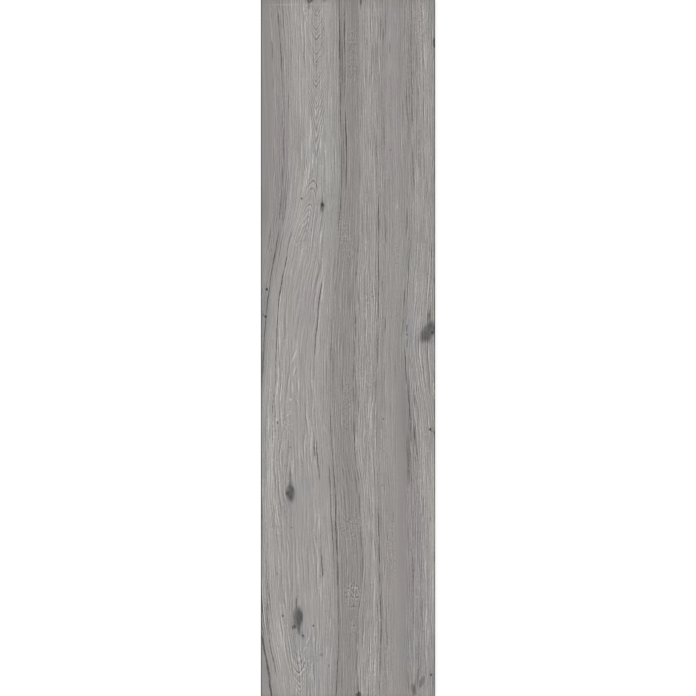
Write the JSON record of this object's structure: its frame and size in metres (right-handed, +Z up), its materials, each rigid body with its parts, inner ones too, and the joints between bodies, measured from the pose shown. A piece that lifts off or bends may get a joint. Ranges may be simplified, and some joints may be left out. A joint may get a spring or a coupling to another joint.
{
  "type": "wood look porcelain plank tile",
  "caption": "Rectangular porcelain floor plank with a grey knotty oak print on its matt face, square ground edges with a fine arris, and a keyed back.",
  "frame": {"origin": "middle of the tile on the plane of the back's rib tops, which is its bedding plane", "axes": "+X across the grain, +Y along the grain towards the end that is at the top of the picture, +Z up out of the printed face"},
  "size_m": [0.3, 1.2, 0.0095],
  "materials": {
    "porcelain": "matt grey oak print with a fine grain relief"
  },
  "bodies": {
    "root": {"plank_tile": "porcelain"}
  },
  "joints": []
}
